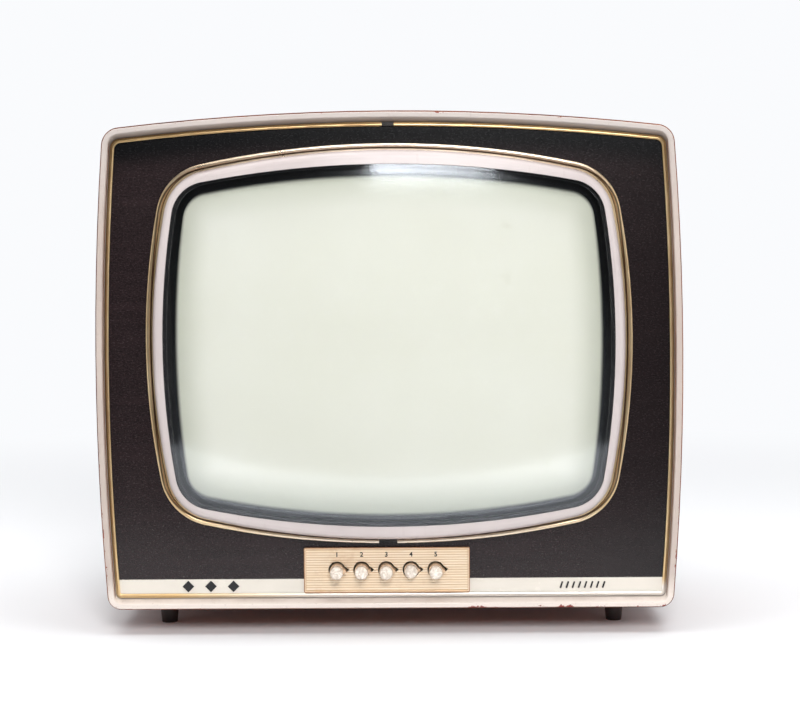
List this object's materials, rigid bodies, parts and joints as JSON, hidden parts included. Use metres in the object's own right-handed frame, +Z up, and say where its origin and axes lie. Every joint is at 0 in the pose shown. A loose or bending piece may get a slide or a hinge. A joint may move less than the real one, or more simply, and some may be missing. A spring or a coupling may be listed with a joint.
{
  "type": "cathode ray tube television",
  "caption": "Table television in a wood-wrapped cabinet, with a bulging screen, gold trims, push-button tuning, side controls and a full cathode ray tube assembly inside.",
  "frame": {"origin": "on the floor, at the centre of the bounding box", "axes": "+X to the right of a viewer who faces the screen, +Y from the screen to the back, +Z up"},
  "size_m": [0.539, 0.3399, 0.482],
  "materials": {
    "cabinet_shell": "satin teak veneer",
    "front_rim": "satin moulded",
    "outer_trim": "satin anodised gold",
    "trim_clips": "satin",
    "front_panel": "woven texture",
    "screen_trim": "bright anodised gold",
    "screen_mask": "satin moulded",
    "name_strip": "gloss",
    "strip_emblems": "gloss",
    "button_escutcheon": "ribbed anodised champagne",
    "safety_glass": "polished",
    "dust_seal": "matt",
    "tube_faceplate": "polished",
    "phosphor_screen": "matt powder coat",
    "tube_funnel": "graphite coated",
    "tube_neck": "clear",
    "gun_grids": "satin nickel",
    "cathode": "satin nickel",
    "gun_support_rods": "sintered",
    "tube_base": "moulded",
    "tube_socket": "moulded phenolic",
    "anode_cap": "matt",
    "eht_lead": "matt",
    "tube_strap": "zinc plated",
    "tube_mounts": "zinc plated",
    "yoke_core": "ferrite",
    "line_coils": "enamelled copper",
    "frame_coils": "enamelled copper",
    "yoke_clamp": "moulded",
    "centring_magnet_front": "magnetic",
    "centring_magnet_rear": "magnetic",
    "chassis_frame": "passivated",
    "timebase_board": "phenolic board",
    "signal_board": "phenolic board",
    "valves": "clear glass, getter mirrored",
    "electrolytic_cans": "drawn",
    "line_output_transformer": "waxed windings",
    "tuner_unit": "plated",
    "button_unit": "plated",
    "loudspeaker_frame": "hammer finish",
    "loudspeaker_cone": "paper",
    "control_tray": "satin moulded",
    "knobs": "gloss",
    "button_collars": "satin moulded",
    "button_caps": "pearl",
    "rear_cover": "pressed fibre board",
    "rear_cover_screws": "plated",
    "aerial_panel": "phenolic",
    "mains_inlet": "moulded",
    "feet": "satin dark brown"
  },
  "bodies": {
    "cabinet": {"aerial_panel": "aerial_panel", "anode_cap": "anode_cap", "button_escutcheon": "button_escutcheon", "button_unit": "button_unit", "cabinet_shell": "cabinet_shell", "cathode": "cathode", "chassis_frame": "chassis_frame", "control_tray": "control_tray", "dust_seal": "dust_seal", "eht_lead": "eht_lead", "electrolytic_cans": "electrolytic_cans", "feet": "feet", "frame_coils": "frame_coils", "front_panel": "front_panel", "front_rim": "front_rim", "gun_grids": "gun_grids", "gun_support_rods": "gun_support_rods", "line_coils": "line_coils", "line_output_transformer": "line_output_transformer", "loudspeaker_cone": "loudspeaker_cone", "loudspeaker_frame": "loudspeaker_frame", "mains_inlet": "mains_inlet", "name_strip": "name_strip", "outer_trim": "outer_trim", "phosphor_screen": "phosphor_screen", "rear_cover": "rear_cover", "rear_cover_screws": "rear_cover_screws", "safety_glass": "safety_glass", "screen_mask": "screen_mask", "screen_trim": "screen_trim", "signal_board": "signal_board", "strip_emblems": "strip_emblems", "timebase_board": "timebase_board", "trim_clips": "trim_clips", "tube_base": "tube_base", "tube_faceplate": "tube_faceplate", "tube_funnel": "tube_funnel", "tube_mounts": "tube_mounts", "tube_neck": "tube_neck", "tube_socket": "tube_socket", "tube_strap": "tube_strap", "tuner_unit": "tuner_unit", "valves": "valves", "yoke_clamp": "yoke_clamp", "yoke_core": "yoke_core"},
    "brightness_control": {"brightness_knob": "knobs"},
    "fine_tuner_1": {"button_cap_1": "button_caps"},
    "fine_tuner_2": {"button_cap_2": "button_caps"},
    "fine_tuner_3": {"button_cap_3": "button_caps"},
    "fine_tuner_4": {"button_cap_4": "button_caps"},
    "fine_tuner_5": {"button_cap_5": "button_caps"},
    "button_1": {"button_collar_1": "button_collars"},
    "button_2": {"button_collar_2": "button_collars"},
    "button_3": {"button_collar_3": "button_collars"},
    "button_4": {"button_collar_4": "button_collars"},
    "button_5": {"button_collar_5": "button_collars"},
    "centring_ring_front": {"centring_magnet_front": "centring_magnet_front"},
    "centring_ring_rear": {"centring_magnet_rear": "centring_magnet_rear"},
    "contrast_control": {"contrast_knob": "knobs"},
    "volume_control": {"volume_knob": "knobs"}
  },
  "joints": [
    {"name": "button_1_press", "type": "slide", "parent": "cabinet", "child": "button_1", "axis": [0, 1, 0], "range_m": [0, 0.0065], "stiffness_N_per_m": 250, "springref_m": -0.004},
    {"name": "fine_tuning_1", "type": "hinge", "parent": "button_1", "child": "fine_tuner_1", "pos_m": [-0.0497, -0.15, 0.0594], "axis": [0, 1, 0], "continuous": true},
    {"name": "button_2_press", "type": "slide", "parent": "cabinet", "child": "button_2", "axis": [0, 1, 0], "range_m": [0, 0.0065], "stiffness_N_per_m": 250, "springref_m": -0.004},
    {"name": "fine_tuning_2", "type": "hinge", "parent": "button_2", "child": "fine_tuner_2", "pos_m": [-0.0268, -0.15, 0.0594], "axis": [0, 1, 0], "continuous": true},
    {"name": "button_3_press", "type": "slide", "parent": "cabinet", "child": "button_3", "axis": [0, 1, 0], "range_m": [0, 0.0065], "stiffness_N_per_m": 250, "springref_m": -0.004},
    {"name": "fine_tuning_3", "type": "hinge", "parent": "button_3", "child": "fine_tuner_3", "pos_m": [-0.0039, -0.15, 0.0594], "axis": [0, 1, 0], "continuous": true},
    {"name": "button_4_press", "type": "slide", "parent": "cabinet", "child": "button_4", "axis": [0, 1, 0], "range_m": [-0.006, 0.0005]},
    {"name": "fine_tuning_4", "type": "hinge", "parent": "button_4", "child": "fine_tuner_4", "pos_m": [0.019, -0.15, 0.0594], "axis": [0, 1, 0], "continuous": true},
    {"name": "button_5_press", "type": "slide", "parent": "cabinet", "child": "button_5", "axis": [0, 1, 0], "range_m": [0, 0.0065], "stiffness_N_per_m": 250, "springref_m": -0.004},
    {"name": "fine_tuning_5", "type": "hinge", "parent": "button_5", "child": "fine_tuner_5", "pos_m": [0.0419, -0.15, 0.0594], "axis": [0, 1, 0], "continuous": true},
    {"name": "volume_turn", "type": "hinge", "parent": "cabinet", "child": "volume_control", "pos_m": [0.257, -0.092, 0.176], "axis": [1, 0, 0], "range_deg": [-140, 140]},
    {"name": "brightness_turn", "type": "hinge", "parent": "cabinet", "child": "brightness_control", "pos_m": [0.257, -0.092, 0.146], "axis": [1, 0, 0], "range_deg": [-140, 140]},
    {"name": "contrast_turn", "type": "hinge", "parent": "cabinet", "child": "contrast_control", "pos_m": [0.257, -0.092, 0.116], "axis": [1, 0, 0], "range_deg": [-140, 140]},
    {"name": "centring_front_turn", "type": "hinge", "parent": "cabinet", "child": "centring_ring_front", "pos_m": [0, 0.0585, 0.2685], "axis": [0, 1, 0], "continuous": true},
    {"name": "centring_rear_turn", "type": "hinge", "parent": "cabinet", "child": "centring_ring_rear", "pos_m": [0, 0.0625, 0.2685], "axis": [0, 1, 0], "continuous": true}
  ]
}
